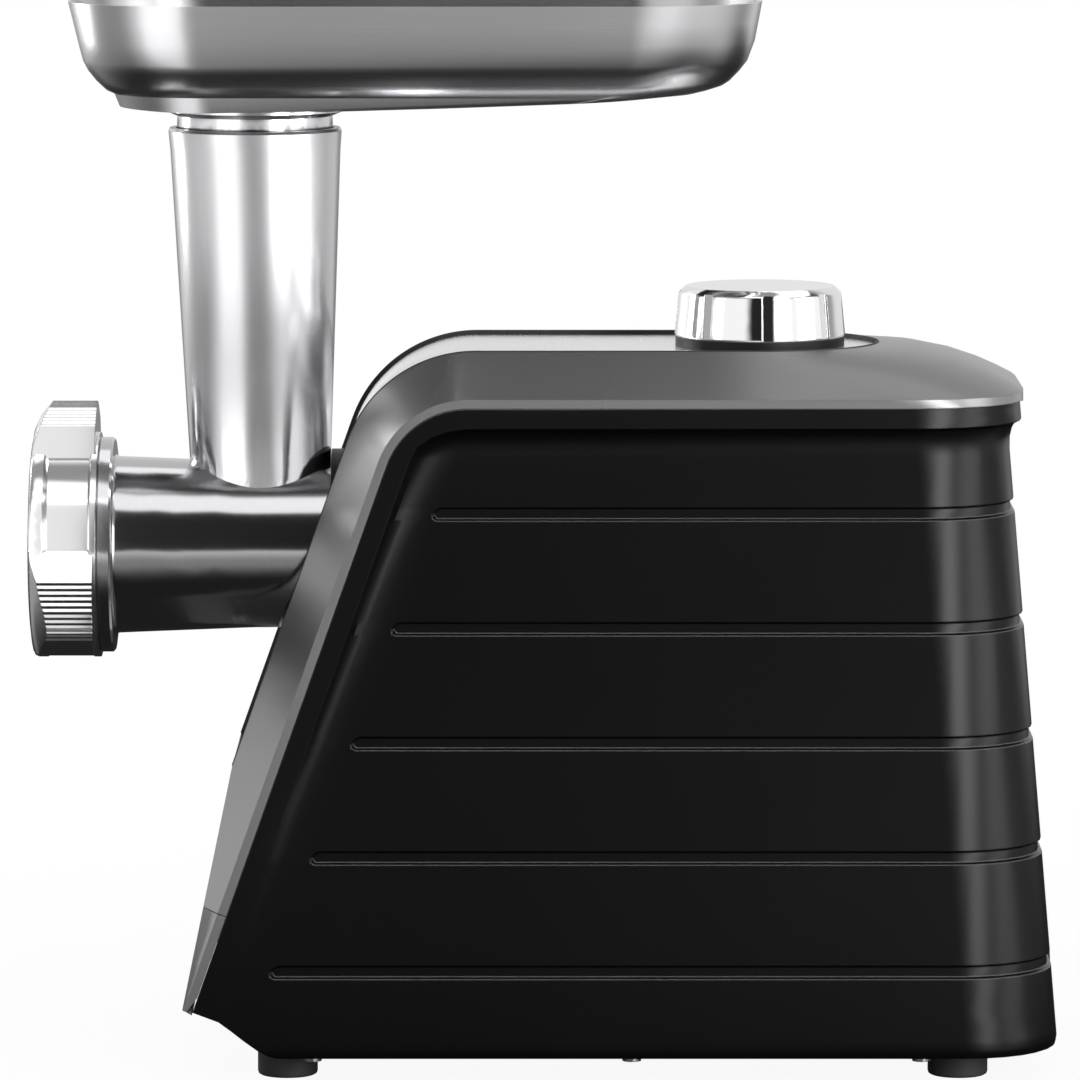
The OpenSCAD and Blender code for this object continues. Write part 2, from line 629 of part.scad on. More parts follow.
module gearbox_front() {
    color([0.25, 0.26, 0.28]) difference() {
        union() {
            along_x(box_x0) linear_extrude(box_t) union() {
                box_outline(0);
                lug_spots(5);
                box_leg(16);
            }
            along_x(box_x0) linear_extrude(40) difference() {
                box_outline(0);
                box_outline(2.5);
            }
            along_x(box_x0) linear_extrude(40) difference() {
                lug_spots(5);
                box_outline(1);
            }
            tube_x(box_x0, -41.2, 6.5, mid_p[0], mid_p[1]);
            tube_x(box_x0, -24, 6.5, first_p[0], first_p[1]);
            tube_x(box_x0, -40.4, 13);
            translate([box_x0, -16, base_top + touch]) cube([14, 32, 4]);
        }
        tube_x(-60, 0, drive_r + 2.5);
        tube_x(box_x0 + 1, 0, pin_r, mid_p[0], mid_p[1]);
        tube_x(box_x0 + 8, 0, pin_r, first_p[0], first_p[1]);
        for (p = box_lugs) tube_x(-60, 0, 1.6, p[0], p[1]);
    }
}
module gearbox_rear() {
    color([0.25, 0.26, 0.28]) difference() {
        union() {
            along_x(box_x1 - box_t) linear_extrude(box_t) union() {
                box_outline(0);
                lug_spots(5);
                box_leg(16);
            }
            along_x(box_x0 + 40 + touch) linear_extrude(box_x1 - box_x0 - 40 - touch) union() {
                difference() {
                    box_outline(0);
                    box_outline(2.5);
                }
                difference() {
                    lug_spots(5);
                    box_outline(1);
                }
            }
            tube_x(-9.5, box_x1, 6.5, mid_p[0], mid_p[1]);
            tube_x(2, box_x1, 6.5, first_p[0], first_p[1]);
            tube_x(-1, box_x1, 13);
            translate([box_x1 - 14, -16, base_top + touch]) cube([14, 32, 4]);
        }
        tube_x(-20, box_x1 - 1, drive_r + 2.5);
        tube_x(-20, box_x1 - 1, pin_r, mid_p[0], mid_p[1]);
        tube_x(-20, box_x1 - 1, pin_r, first_p[0], first_p[1]);
        tube_x(-20, 20, 8.5, motor_p[0], motor_p[1]);
        for (p = box_lugs) tube_x(-20, 20, 1.8, p[0], p[1]);
    }
}
module gearbox_screws() {
    color(steel) for (p = box_lugs) difference() {
        union() {
            tube_x(-28, box_x1 + touch, 1.55, p[0], p[1]);
            tube_x(box_x1 + touch / 2, box_x1 + 2.3, 3, p[0], p[1]);
        }
        translate([box_x1 + 1.3, p[0] - 2, p[1] - 0.35]) cube([2, 4, 0.7]);
        translate([box_x1 + 1.3, p[0] - 0.35, p[1] - 2]) cube([2, 0.7, 4]);
    }
}
module output_bearings() {
    color([0.72, 0.53, 0.3]) {
        ring_x(box_x0 + 0.3, -40.4, drive_r + 2.5, drive_r + run, out_p);
        ring_x(-1, box_x1 - 1, drive_r + 2.5, drive_r + run, out_p);
    }
}
module idler_pins() {
    color(steel) {
        tube_x(box_x0 + 1, box_x1 - 1, pin_r, mid_p[0], mid_p[1]);
        tube_x(box_x0 + 8, box_x1 - 1, pin_r, first_p[0], first_p[1]);
    }
}
module output_gear() {
    color([0.85, 0.84, 0.78]) difference() {
        union() {
            difference() {
                gear(z6, m3, out_x, out_p, -90 + 180 / z6);
                ring_x(out_x[0] - 1, out_x[0] + 4, 30, 14, out_p);
                ring_x(out_x[1] - 4, out_x[1] + 1, 30, 14, out_p);
            }
            tube_x(out_x[0] - 0.5, wide_x[0] - 0.6, 13);
        }
        tube_x(-60, 20, drive_r + 0.5);
        for (a = [0, 180]) translate([-60, 0, axis_z]) rotate([a, 0, 0]) translate([0, drive_r - 1, -2])
            cube([80, 3, 4]);
    }
}
hex_r = 8;         // corner radius of the drive's hexagon
cup_x = [-61, -45.2];
module drive_spindle() {
    color(steel) difference() {
        union() {
            tube_x(cup_x[0], cup_x[1], 13);
            tube_x(cup_x[1] - 1, out_x[0] - 0.5, drive_r);
            tube_x(out_x[0] - 0.5, -3, drive_r + 0.5 - 0.05);
            tube_x(-3, box_x1 - 2, drive_r);
            for (a = [0, 180]) translate([out_x[0], 0, axis_z]) rotate([a, 0, 0])
                translate([0, drive_r - 1, -1.9]) cube([30, 2.8, 3.8]);
        }
        along_x(cup_x[0] - 1, 0, axis_z) cylinder(r = hex_r + 0.25, h = 13.5, $fn = 6);
    }
}
module middle_gear() {
    color([0.85, 0.84, 0.78]) difference() {
        union() {
            gear(z5, m3, mid_x, mid_p, 90);
            difference() {
                gear(z4, m2, wide_x, mid_p, aim_first + 180 / z4);
                ring_x(wide_x[0] - 1, wide_x[0] + 3, 29, 13, mid_p);
                ring_x(wide_x[1] - 3, wide_x[1] + 1, 29, 13, mid_p);
            }
            tube_x(-24.5, -10, 10, mid_p[0], mid_p[1]);
        }
        tube_x(-60, 20, pin_r + run, mid_p[0], mid_p[1]);
    }
}
module first_gear() {
    color([0.85, 0.84, 0.78]) difference() {
        union() {
            gear(z3, m2, small_x, first_p, aim_first + 180);
            difference() {
                gear(z2, m1, fast_x, first_p, aim_motor + 180 / z2);
                ring_x(fast_x[0] - 1, fast_x[0] + 2, 23, 11, first_p);
                ring_x(fast_x[1] - 2, fast_x[1] + 1, 23, 11, first_p);
            }
            tube_x(-10, 1.5, 7, first_p[0], first_p[1]);
        }
        tube_x(-60, 20, pin_r + run, first_p[0], first_p[1]);
    }
}

// ---- motor, on an axis parallel to the drive ----

shaft_r = 3.5;
frame_x = [18, 118];
core_x = [46, 82];
comm_r = 12;
coil_r = [21.6, 31];
module motor_shaft() {
    color(steel) union() {
        gear(z1, m1, [fast_x[0] - 0.5, fast_x[1] + 1], motor_p, aim_motor + 180);
        tube_x(fast_x[1], 126, shaft_r, motor_p[0], motor_p[1]);
        tube_x(21, 24, 5, motor_p[0], motor_p[1]);
        tube_x(112, 114, 5, motor_p[0], motor_p[1]);
    }
}
module rotor_core() {
    color([0.45, 0.45, 0.47]) difference() {
        tube_x(core_x[0] - 0.5, core_x[1] + 0.5, 20, motor_p[0], motor_p[1]);
        tube_x(40, 90, shaft_r, motor_p[0], motor_p[1]);
        for (a = [0:30:330]) translate([40, motor_p[0], motor_p[1]]) rotate([a, 0, 0])
            translate([0, -1, 14]) cube([50, 2, 7]);
    }
}
module rotor_windings() {
    color([0.72, 0.4, 0.2]) union() {
        for (a = [0:30:330]) translate([core_x[0] - 2, motor_p[0], motor_p[1]]) rotate([a, 0, 0])
            translate([0, -0.95, 14.05]) cube([core_x[1] - core_x[0] + 4, 1.9, 5.2]);
        for (xs = [[core_x[0] - 8, core_x[0] - 0.6], [core_x[1] + 0.6, core_x[1] + 8]])
            along_x(xs[0], motor_p[0], motor_p[1]) rotate_extrude($fn = 72) polygon([
                [shaft_r + 1.5, 0.8], [shaft_r + 3, 0], [15.5, 0], [18.4, 1.6], [18.9, 3.7], [18.4, 5.8],
                [15.5, xs[1] - xs[0]], [shaft_r + 3, xs[1] - xs[0]], [shaft_r + 1.5, xs[1] - xs[0] - 0.8]]);
    }
}
module commutator() {
    color([0.78, 0.48, 0.28]) difference() {
        union() {
            tube_x(94, 108, comm_r, motor_p[0], motor_p[1]);
            tube_x(92, 94, comm_r + 1.5, motor_p[0], motor_p[1]);
        }
        tube_x(80, 120, shaft_r, motor_p[0], motor_p[1]);
        for (a = [0:15:345]) translate([91, motor_p[0], motor_p[1]]) rotate([a, 0, 0])
            translate([0, -0.25, comm_r - 1]) cube([20, 0.5, 4]);
    }
}
module cooling_fan() {
    color([0.3, 0.3, 0.32]) difference() {
        union() {
            tube_x(26, 28, 32, motor_p[0], motor_p[1]);
            tube_x(26, 36, 8, motor_p[0], motor_p[1]);
            for (a = [0:30:330]) translate([27.5, motor_p[0], motor_p[1]]) rotate([a, 0, 0])
                translate([0, -0.7, 13]) rotate([0, 0, 0]) cube([7.5, 1.4, 18.5]);
        }
        tube_x(20, 40, shaft_r, motor_p[0], motor_p[1]);
    }
}
module motor_bearings() {
    color([0.72, 0.53, 0.3]) {
        ring_x(14, 20.8, 7, shaft_r + run, motor_p);
        ring_x(114.2, 121, 7, shaft_r + run, motor_p);
    }
}
module cap(x0, x1) {
    difference() {
        union() {
            tube_x(x0, x1, motor_r + 2, motor_p[0], motor_p[1]);
            tube_x(x0 < 50 ? 14 : x0 - 1.8, x0 < 50 ? x1 : 121, 10, motor_p[0], motor_p[1]);
        }
        tube_x(x0 - 10, x1 + 10, 7, motor_p[0], motor_p[1]);
        for (a = [0:45:315]) translate([x0 - 5, motor_p[0], motor_p[1]]) rotate([a, 0, 0])
            translate([0, -4, 18]) cube([20, 8, 13]);
    }
}
module motor_front_cap() {
    color([0.3, 0.31, 0.33]) cap(15, 18);
}
module motor_rear_cap() {
    color([0.3, 0.31, 0.33]) cap(118, 121);
}
module motor_frame() {
    color([0.5, 0.51, 0.53]) difference() {
        ring_x(frame_x[0] + touch / 2, frame_x[1] - touch / 2, motor_r + 2, motor_r, motor_p);
        for (a = [0, 90, 180, 270]) translate([88, motor_p[0], motor_p[1]]) rotate([a + 45, 0, 0])
            translate([0, -10, 30]) cube([20, 20, 20]);
        for (s = [-1, 1]) translate([95, motor_p[0] + s * 38, motor_p[1]]) translate([-1, -5, -6])
            cube([14, 10, 12]);
    }
}
module stator_core() {
    color([0.45, 0.45, 0.47]) difference() {
        tube_x(core_x[0], core_x[1], motor_r - touch / 2, motor_p[0], motor_p[1]);
        tube_x(40, 90, 20.6, motor_p[0], motor_p[1]);
        for (a = [0, 180]) sector(40, 90, 15, coil_r[1] + touch, a - 37, a + 37, motor_p);
    }
}
module field_coils() {
    color([0.72, 0.4, 0.2]) for (a = [0, 180]) union() {
        sector(core_x[0] - 7, core_x[0] - touch, coil_r[0], coil_r[1], a + 4, a + 176, motor_p);
        sector(core_x[1] + touch, core_x[1] + 7, coil_r[0], coil_r[1], a + 4, a + 176, motor_p);
        for (b = [6, 144]) sector(core_x[0] - 5, core_x[1] + 5, coil_r[0] + 0.4, coil_r[1] - 0.4, a + b, a + b + 30,
                                  motor_p);
    }
}
module brush_holders() {
    color([0.75, 0.6, 0.32]) for (s = [-1, 1]) translate([101, motor_p[0], motor_p[1]]) rotate([s * 90, 0, 0])
        difference() {
            translate([-5.5, -4.5, comm_r + 2]) cube([11, 9, motor_r + 6 - comm_r]);
            translate([-4, -3, 0]) cube([8, 6, motor_r + 6]);
        }
}
module carbon_brushes() {
    color([0.2, 0.2, 0.21]) for (s = [-1, 1]) translate([101, motor_p[0], motor_p[1]]) rotate([s * 90, 0, 0])
        difference() {
            translate([-3.9, -2.9, comm_r - 3]) cube([7.8, 5.8, 18]);
            rotate([0, 90, 0]) translate([0, 0, -10]) cylinder(r = comm_r + 0.05, h = 20);
        }
}
module motor_cradle() {
    color([0.2, 0.2, 0.21]) difference() {
        union() {
            for (x = [56, 108]) translate([x, -24, base_top + touch]) cube([8, 48, motor_p[1] - 42]);
            translate([56, -24, base_top + touch]) cube([60, 6, 5]);
            translate([56, 18, base_top + touch]) cube([60, 6, 5]);
        }
        tube_x(0, 130, motor_r + 2 + touch / 2, motor_p[0], motor_p[1]);
    }
}

// ---- head ----

spigot_x = -50;            // rear end of the head, inside the socket
ring_t = 4.4;
head_x0 = -170.7;          // front end of the casting
seat_x = nut_x + 9;        // rear face of the hole plate
thread_r = 34.6;
lug_x = [-56.5, -52];
lug_a = 12;
twist = 32;
module sector(x0, x1, r0, r1, a0, a1, p = [0, axis_z]) {
    along_x(x0, p[0], p[1]) rotate(a0) rotate_extrude(angle = a1 - a0, $fn = 96)
        translate([r0, 0]) square([r1 - r0, x1 - x0]);
}
module socket_ring() {
    color(black) difference() {
        union() {
            tube_x(socket_x, box_x0 - touch, barrel_r2 + ring_t);
            tube_x(box_x0 - 3.2, box_x0 - touch, 40);
        }
        tube_x(socket_x - 1, 0, barrel_r2 + run);
        for (a = [0, 180]) {
            sector(lug_x[0] - slack, lug_x[1] + slack, 20, 32, a - lug_a - 2, a + lug_a + twist + 2);
            sector(socket_x - 1, lug_x[0] + 1, 20, 31.9, a + twist - lug_a - 1.5, a + twist + lug_a + 1.5);
        }
    }
}

tube_n = 48;
function tube_ring(z, rx, ry, cx) = [for (i = [0:tube_n - 1]) let (a = -360 * i / tube_n)
    [cx + rx * cos(a), ry * sin(a), z]];
tube_base_z = axis_z + 8;
function tube_rx(z) = z > 311 ? tube_r1 - (tube_z - z) * 0.081
    : tube_r2 + (29.15 - tube_r2) * pow((z - 208) / 103, 1) ;
function tube_ry(z) = let (t = max(0, min(1, (z - 205) / 75)), u = t * t * (3 - 2 * t))
    tube_rx(max(z, 208)) * u + (tube_r3 + (z - 196) * 0.02) * (1 - u);
tube_zs = [tube_base_z, 192, 200, 208, 218, 230, 242, 254, 268, 284, 298, 311, tube_z - 1, tube_z];
function tube_cx(z) = tube_x + (tube_z - z) * 0.0125;
throat_r = 27.1;
function throat(z, w) = z > 300 ? throat_r - (tube_z - z) * 0.095 : w;
throat_zs = [axis_z, 208, 218, 230, 242, 254, 268, 284, 300, tube_z + 1];
module head_casting() {
    color(cast) difference() {
        union() {
            along_x(0, 0, axis_z) rotate_extrude($fn = 128) polygon([
                [0, head_x0], [thread_r - 0.6, head_x0], [thread_r, head_x0 + 0.6], [thread_r, -152],
                [flange_r - 0.5, -152], [flange_r, -151.5], [flange_r, -147.9], [flange_r - 0.7, -147.2],
                [barrel_r1 + 1.6, -147.2], [barrel_r1 + 0.5, -146.8], [barrel_r1, -145.8],
                [barrel_r2, tube_x], [barrel_r2, spigot_x - 0.6], [barrel_r2 - 0.6, spigot_x], [0, spigot_x]]);
            for (a = [0, 180]) sector(lug_x[0], lug_x[1], 26, 31.6, a - lug_a, a + lug_a);
            lofted([for (z = tube_zs) tube_ring(z, tube_rx(max(z, 200)) - (z > tube_z - 0.5 ? 0.6 : 0),
                                                tube_ry(z) - (z > tube_z - 0.5 ? 0.6 : 0), tube_cx(z))]);
        }
        tube_x(head_x0 - 1, -70, bore_r);
        tube_x(head_x0 - 1, seat_x, plate_d / 2 + 0.2);
        tube_x(-71, spigot_x - 5, 10);
        tube_x(-62, spigot_x + 1, 24);
        lofted([for (z = throat_zs) tube_ring(z, throat(z, tube_rx(z) - 2.6), throat(z, tube_ry(z) - 2.6),
                                              tube_cx(z))]);
        translate([head_x0 - 1, -1.6, axis_z - plate_d / 2 - 2]) cube([seat_x - head_x0 + 1, 3.2, 6]);
    }
}
module barrel_bush() {
    color([0.9, 0.88, 0.82]) difference() {
        union() {
            tube_x(-69.9, -61.8, 10 - 0.02);
            tube_x(-61.9, -61.3, 12);
        }
        tube_x(-80, -50, 7 + run);
    }
}

// ---- screw, knife, plate ----

core_r = [9, 12.5];
pitch = 29;
flight_x = [-157, -72];
flight_n = 20;     // steps a turn
module auger() {
    steps = round(flight_n * (flight_x[1] - flight_x[0] - 8) / pitch);
    function at(i) = let (x = flight_x[0] + 4 + i * pitch / flight_n) x;
    function rib(i) = let (
            a = 360 * i / flight_n, x = at(i), c = [0, cos(a), sin(a)],
            fade = min(1, (i + 1) / 5), r = bore_r - 0.7, w0 = 3.4, w1 = 1.7)
        [[x - w0, 0, axis_z] + 7 * c, [x - w1, 0, axis_z] + r * c, [x + w1, 0, axis_z] + r * c,
         [x + w0, 0, axis_z] + 7 * c];
    color(cast) difference() {
        union() {
            along_x(0, 0, axis_z) rotate_extrude($fn = 64) polygon([
                [0, flight_x[0]], [core_r[0], flight_x[0]], [core_r[1], flight_x[1] - 2],
                [core_r[1], -70.2], [7, -70.2], [7, -59.5], [0, -59.5]]);
            lofted([for (i = [0:steps]) rib(i)]);
        }
        translate([flight_x[0] - 1, -4.05, axis_z - 4.05]) cube([14, 8.1, 8.1]);
    }
}
module auger_tang() {
    color([0.9, 0.88, 0.82]) difference() {
        along_x(-59.4, 0, axis_z) cylinder(r = hex_r, h = 10.7, $fn = 6);
    }
}
module auger_stud() {
    color(steel) union() {
        translate([seat_x + 0.3, -4, axis_z - 4]) cube([-144.1 - seat_x - 0.3, 8, 8]);
        tube_x(seat_x - plate_t + 0.1, seat_x + 0.4, 4);
    }
}
knife_x = [seat_x + touch / 2, -158.5];
module cutting_knife() {
    color(steel) difference() {
        union() {
            tube_x(knife_x[0] + 1, knife_x[1] + 1.3, 9);
            for (a = [0:90:270]) translate([0, 0, axis_z]) rotate([a, 0, 0]) knife_arm();
        }
        translate([-180, -4.1, axis_z - 4.1]) cube([40, 8.2, 8.2]);
    }
}
module knife_arm() {
    rotate([90, 0, 90]) translate([0, 0, 0]) rotate([0, 0, 0]) translate([0, 0, knife_x[0]])
        linear_extrude(3.4) polygon([[0, -5], [12, -5.2], [23.5, -3], [24.5, 0.4], [23.8, 2.6], [13, 2], [0, 5]]);
}
hole_r = 2;
module hole_plate() {
    color(steel) difference() {
        tube_x(seat_x - plate_t, seat_x, plate_d / 2);
        tube_x(-180, -150, 4 + run);
        for (ring = [[7.6, 8], [12.6, 14], [17.6, 20], [22.7, 26]]) for (k = [0:ring[1] - 1])
            along_x(seat_x - plate_t - 1, ring[0] * cos(360 * k / ring[1]), axis_z + ring[0] * sin(360 * k / ring[1]))
                cylinder(r = hole_r, h = plate_t + 2, $fn = 20);
        translate([seat_x - plate_t - 1, -1.6, axis_z - plate_d / 2 - 1]) cube([plate_t + 2, 3.2, 3]);
    }
}
module plate_key() {
    color(steel) translate([seat_x - plate_t + 1, -1.5, axis_z - plate_d / 2 - 1.8])
        cube([plate_t - 1.2, 3, 3.6]);
}

// ---- ring nut ----

lobe_x = nut_x + nut_l;     // rear edge of the lobes
nut_rear = -152 - touch;
tip_r = 48.3;
tip_a = 6.8;
shoulder_a = 20.9;
panel_a = 32.7;
function polar(r, a) = r * [cos(a), sin(a)];
// Outline of one flank with its shallow ribs, from the lobe's shoulder to its tip.
function flank(s) = let (
        p = [for (q = [[shoulder_r, shoulder_a], [tip_r, tip_a], [lobe_r, 0]]) polar(q[0], s * q[1])],
        l1 = norm(p[1] - p[0]), l2 = norm(p[2] - p[1]), all = l1 + l2)
    [for (k = [0:rib_n - 1], h = [0, 0.5]) let (
            d = all * (k + h) / rib_n, on1 = d < l1, t = on1 ? d / l1 : (d - l1) / l2,
            a = on1 ? p[0] : p[1], b = on1 ? p[1] : p[2], u = (b - a) / norm(b - a),
            n = s * [u[1], -u[0]])
        a + (b - a) * t - (h > 0 ? rib_d : 0) * n];
third = concat(
    [polar(panel_r - 1, -panel_a - 1.2), polar(panel_r + 0.8, -panel_a)],
    flank(-1), [[lobe_r - 0.25, -0.6], [lobe_r, 0], [lobe_r - 0.25, 0.6]],
    [for (i = [2 * rib_n - 1:-1:0]) flank(1)[i]],
    [polar(panel_r + 0.8, panel_a), polar(panel_r - 1, panel_a + 1.2)]);
// The three lobes in one outline; the panels between them are the base ring's waist.
nut_outline = [for (k = [0:2], p = third) let (a = nut_turn + 120 * k)
    [p[0] * cos(a) - p[1] * sin(a), p[0] * sin(a) + p[1] * cos(a)]];
module ring_nut() {
    color([0.86, 0.87, 0.88]) difference() {
        union() {
            intersection() {
                along_x(nut_x, 0, axis_z) linear_extrude(lobe_x - nut_x) polygon(nut_outline);
                lofted([for (p = [[outlet_r + 6, 0], [40.4, 1.1], [shoulder_r - 0.4, 3], [lobe_r + 0.7, 7.4],
                                  [lobe_r + 1, 30]])
                    [for (i = [0:95]) [nut_x + p[1], p[0] * cos(3.75 * i), axis_z - p[0] * sin(3.75 * i)]]]);
            }
            along_x(0, 0, axis_z) rotate_extrude($fn = 128) polygon([[0, nut_x + 0.4], [collar_r - 2, nut_x + 0.4],
                [collar_r - 0.5, nut_x + 1], [collar_r, nut_x + 2.2], [collar_r, nut_x + 5.2],
                [panel_r, nut_x + 6.6], [panel_r, lobe_x - 1.9], [collar_r, lobe_x - 1.3],
                [collar_r, nut_rear], [0, nut_rear]]);
        }
        tube_x(nut_x - 1, nut_x + 10, outlet_r);
        tube_x(nut_x + 4, nut_rear + 1, thread_r + run);
    }
}

// ---- tray ----

// Height, left end and right end of the tray's wall.
tray_walls = [for (p = [[0, 0, 0], [6.6, 1.6, 1.2], [13.4, 3.2, 2.5], [20.2, 4.9, 5], [23.6, 6.6, 7.6],
                        [27.1, 9.3, 10.9], [28.8, 11, 13.4], [30.5, 12.7, 18.4], [31.7, 15.2, 23]])
    [rim_z - p[0], tray_x0 + p[1], tray_x0 + tray_l - p[2], (p[1] + p[2]) / 2]];
tray_n = 64;
neck_z0 = rim_z - tray_h - 1.5;
function floor_z(x) = neck_z0 + 0.4 + tan(floor_rise) * max(0, abs(x - tube_x) - spigot_r);
// Ring of a rounded rectangle, the points spaced by angle round the corners.
function tray_ring(w, r0 = 45) = let (
        x0 = w[1], x1 = w[2], y = tray_w / 2 - w[3], r = r0 - w[3] * 0.6,
        per = tray_n / 4)
    [for (q = [0:3], i = [0:per - 1]) let (
            a = -(90 * q + 90 * i / (per - 1)),
            cx = q == 0 || q == 3 ? x1 - r : x0 + r, cy = q < 2 ? r - y : y - r)
        [cx + r * cos(a), cy + r * sin(a), w[0]]];
module tray() {
    last = tray_walls[len(tray_walls) - 1];
    rim = tray_ring(last);
    function hole(k) = let (a = -360 * k / tray_n) [tube_x + (spigot_r - 1) * cos(a), (spigot_r - 1) * sin(a)];
    function floors(t) = [for (k = [0:tray_n - 1]) let (h = hole(k),
            x = rim[k][0] + (h[0] - rim[k][0]) * t, y = rim[k][1] + (h[1] - rim[k][1]) * t)
        [x, y, floor_z(x) + (t < 0.1 ? 0.25 : 0)]];
    out = concat([for (w = tray_walls) tray_ring(w)], [for (t = [0.08, 0.45, 0.8, 1]) floors(t)]);
    module_in = concat([for (w = tray_walls) tray_ring([w[0], w[1] + sheet, w[2] - sheet, w[3] + sheet])],
        [for (t = [0.08, 0.45, 0.8, 1]) [for (p = floors(t)) p + [0, 0, sheet]]]);
    color(steel) walled(out, [for (i = [0:len(out) - 1]) [for (p = module_in[i])
        i == 0 ? p : i < len(tray_walls) ? p + [0, 0, sheet * i / len(tray_walls)] : p]], true);
}
module tray_spigot() {
    color(steel) translate([tube_x, 0, 0]) rotate_extrude($fn = 96) polygon([
        [spigot_r - 3.2, 299], [spigot_r - 1.9, 299], [spigot_r - 0.4, tube_z], [spigot_r, tube_z + 1],
        [spigot_r, neck_z0 - 2.4], [30.5, neck_z0 - 0.8], [30.5, neck_z0 + 0.1], [spigot_r - 1.2, neck_z0 + 0.1],
        [spigot_r - 1.2, tube_z + 1], [spigot_r - 1.6, tube_z]]);
}

// ---- knob ----

knob_z = crown_z;
ring_h = 2.1;
flute_w = 3.8;
flute_a = -86;
module knob_cap() {
    z0 = knob_z + ring_h;
    top = knob_h - ring_h;
    color([0.86, 0.87, 0.88]) translate([knob_x, 0, z0]) difference() {
        rotate_extrude($fn = 128) polygon([[0, 1], [knob_r - 1.5, 1], [knob_r - 1.5, 0.05],
            [knob_r - 0.3, 0.05], [knob_r, 0.5], [knob_top_r + 2.5, top - 2.6], [knob_top_r + 2.1, top - 1.9],
            [knob_top_r + 0.2, top - 0.15], [knob_top_r - 0.3, top], [0, top]]);
        for (k = [0:7]) rotate(flute_a + 45 * k) translate([knob_r - 0.2, 0, -1]) rotate([0, -5.6, 0])
            translate([-0.35, -flute_w / 2, 0]) cube([6, flute_w, knob_h + 6]);
        cylinder(r = spindle_r, h = 12, $fn = 48);
    }
}
module knob_ring() {
    color(black) translate([knob_x, 0, knob_z]) difference() {
        translate([0, 0, -panel_drop]) cylinder(r = knob_r - 0.3, h = ring_h + panel_drop, $fn = 96);
        translate([0, 0, -3]) cylinder(r = knob_r - 4, h = 8, $fn = 96);
        translate([0, 0, ring_h - 0.4]) difference() {
            cylinder(r = knob_r - 1.4, h = 1, $fn = 96);
        }
    }
}
module knob_spindle() {
    color(steel) translate([knob_x, 0, 0]) union() {
        translate([0, 0, 226]) cylinder(r = spindle_r - 0.06, h = knob_z + ring_h + 12 - 226, $fn = 48);
        translate([0, 0, 226]) cylinder(r = 7, h = 2, $fn = 48);
    }
}
module selector_switch() {
    color([0.2, 0.2, 0.21]) difference() {
        union() {
            translate([knob_x - 17, -17, 222]) cube([34, 34, crown_z - panel_t - touch - 222]);
            for (s = [-1, 1]) translate([knob_x + s * 10 - 1, -6, 214]) cube([2, 12, 9]);
        }
        translate([knob_x, 0, 224]) cylinder(r = 8, h = 8, $fn = 48);
        translate([knob_x, 0, 224]) cylinder(r = spindle_r, h = 60, $fn = 48);
    }
}

left_shell();
right_shell();
top_cover();
front_apron();
inlay_panel();
panel_gasket();
base_plate();
rubber_feet();
base_screws();
cord_bush();
terminal_block();
socket_ring();
gearbox_front();
gearbox_rear();
gearbox_screws();
output_bearings();
idler_pins();
output_gear();
drive_spindle();
middle_gear();
first_gear();
motor_shaft();
rotor_core();
rotor_windings();
commutator();
cooling_fan();
motor_bearings();
motor_frame();
motor_front_cap();
motor_rear_cap();
stator_core();
field_coils();
brush_holders();
carbon_brushes();
motor_cradle();
head_casting();
barrel_bush();
auger();
auger_tang();
auger_stud();
cutting_knife();
hole_plate();
plate_key();
ring_nut();
tray();
tray_spigot();
knob_cap();
knob_ring();
knob_spindle();
selector_switch();
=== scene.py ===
import math

import bpy
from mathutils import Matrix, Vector

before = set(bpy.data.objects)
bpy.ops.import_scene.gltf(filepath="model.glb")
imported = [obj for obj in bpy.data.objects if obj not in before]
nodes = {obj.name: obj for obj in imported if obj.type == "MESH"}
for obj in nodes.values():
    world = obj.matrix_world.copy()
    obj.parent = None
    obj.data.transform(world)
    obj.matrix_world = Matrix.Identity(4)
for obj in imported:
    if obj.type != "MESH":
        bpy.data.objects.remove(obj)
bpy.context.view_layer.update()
print("frame loaded:", len(nodes), "nodes")


class Wire:
    # a socket that takes part in plain arithmetic: each operator adds one Math node
    def __init__(self, shade, socket):
        self.shade = shade
        self.socket = socket

    def math(self, operation, *others):
        return self.shade.node("ShaderNodeMath", {"operation": operation}, self, *others)

    def __add__(self, other):
        return self.math("ADD", other)

    def __radd__(self, other):
        return self.math("ADD", other)

    def __sub__(self, other):
        return self.math("SUBTRACT", other)

    def __rsub__(self, other):
        return self.shade.node("ShaderNodeMath", {"operation": "SUBTRACT"}, other, self)

    def __mul__(self, other):
        return self.math("MULTIPLY", other)

    def __rmul__(self, other):
        return self.math("MULTIPLY", other)

    def __neg__(self):
        return self.math("MULTIPLY", -1.0)

    def __abs__(self):
        return self.math("ABSOLUTE")

    def clamp(self, low, high):
        return self.math("MAXIMUM", low).math("MINIMUM", high)

    def ease(self, low, high):
        # 0 below low, 1 above high, an S-shaped step between
        return self.shade.node("ShaderNodeMapRange", {"interpolation_type": "SMOOTHSTEP"},
                               self, low, high, 0.0, 1.0)


